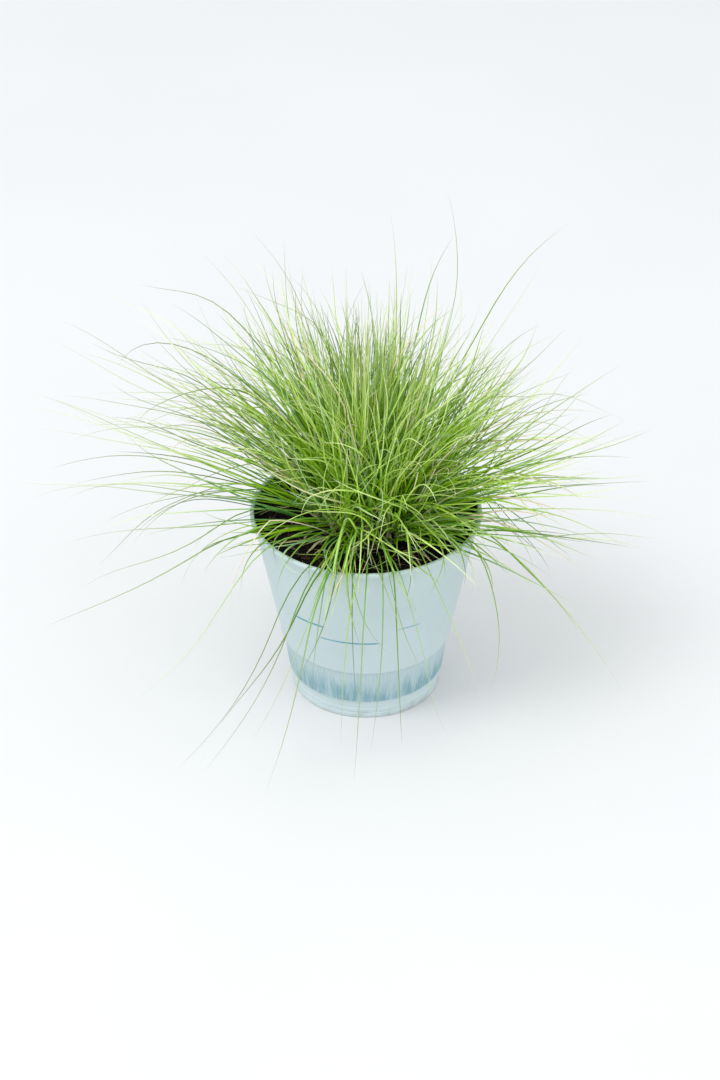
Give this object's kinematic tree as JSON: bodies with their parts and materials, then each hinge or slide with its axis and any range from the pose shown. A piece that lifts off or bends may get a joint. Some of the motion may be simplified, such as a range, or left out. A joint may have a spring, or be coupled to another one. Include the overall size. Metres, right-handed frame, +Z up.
{
  "type": "potted blue fescue clump",
  "caption": "Round tapered plastic nursery pot, filled with dark potting mix, holding one dense clump of fine needle-leaved ornamental grass that arches out over the rim.",
  "frame": {"origin": "middle of the pot's base, on the plane that the pot stands on", "axes": "+Z up along the pot's axis; the side shown in the picture faces -Y, with +X to its right"},
  "size_m": [0.2853, 0.2422, 0.2155],
  "materials": {
    "pot_plastic": "satin",
    "potting_mix": "matte",
    "crown": "matte",
    "leaf_yellow_green": "matte",
    "leaf_blue_green": "matte"
  },
  "bodies": {
    "root": {"pot": "pot_plastic", "soil": "potting_mix", "crown": "crown", "tiller_heart_01": "leaf_yellow_green", "tiller_heart_02": "leaf_blue_green", "tiller_heart_03": "leaf_yellow_green", "tiller_heart_04": "leaf_yellow_green", "tiller_heart_05": "leaf_blue_green", "tiller_inner_01": "leaf_yellow_green", "tiller_inner_02": "leaf_blue_green", "tiller_inner_03": "leaf_yellow_green", "tiller_inner_04": "leaf_yellow_green", "tiller_inner_05": "leaf_blue_green", "tiller_inner_06": "leaf_yellow_green", "tiller_inner_07": "leaf_yellow_green", "tiller_inner_08": "leaf_blue_green", "tiller_inner_09": "leaf_yellow_green", "tiller_middle_01": "leaf_yellow_green", "tiller_middle_02": "leaf_blue_green", "tiller_middle_03": "leaf_yellow_green", "tiller_middle_04": "leaf_yellow_green", "tiller_middle_05": "leaf_blue_green", "tiller_middle_06": "leaf_yellow_green", "tiller_middle_07": "leaf_yellow_green", "tiller_middle_08": "leaf_blue_green", "tiller_middle_09": "leaf_yellow_green", "tiller_middle_10": "leaf_yellow_green", "tiller_middle_11": "leaf_blue_green", "tiller_middle_12": "leaf_yellow_green", "tiller_middle_13": "leaf_yellow_green", "tiller_outer_01": "leaf_yellow_green", "tiller_outer_02": "leaf_blue_green", "tiller_outer_03": "leaf_yellow_green", "tiller_outer_04": "leaf_yellow_green", "tiller_outer_05": "leaf_blue_green", "tiller_outer_06": "leaf_yellow_green", "tiller_outer_07": "leaf_yellow_green", "tiller_outer_08": "leaf_blue_green", "tiller_outer_09": "leaf_yellow_green", "tiller_outer_10": "leaf_yellow_green", "tiller_outer_11": "leaf_blue_green", "tiller_outer_12": "leaf_yellow_green", "tiller_outer_13": "leaf_yellow_green", "tiller_outer_14": "leaf_blue_green", "tiller_outer_15": "leaf_yellow_green", "tiller_outer_16": "leaf_yellow_green", "tiller_skirt_01": "leaf_yellow_green", "tiller_skirt_02": "leaf_blue_green", "tiller_skirt_03": "leaf_yellow_green", "tiller_skirt_04": "leaf_yellow_green", "tiller_skirt_05": "leaf_blue_green", "tiller_skirt_06": "leaf_yellow_green", "tiller_skirt_07": "leaf_yellow_green", "tiller_skirt_08": "leaf_blue_green", "tiller_skirt_09": "leaf_yellow_green"}
  },
  "joints": []
}
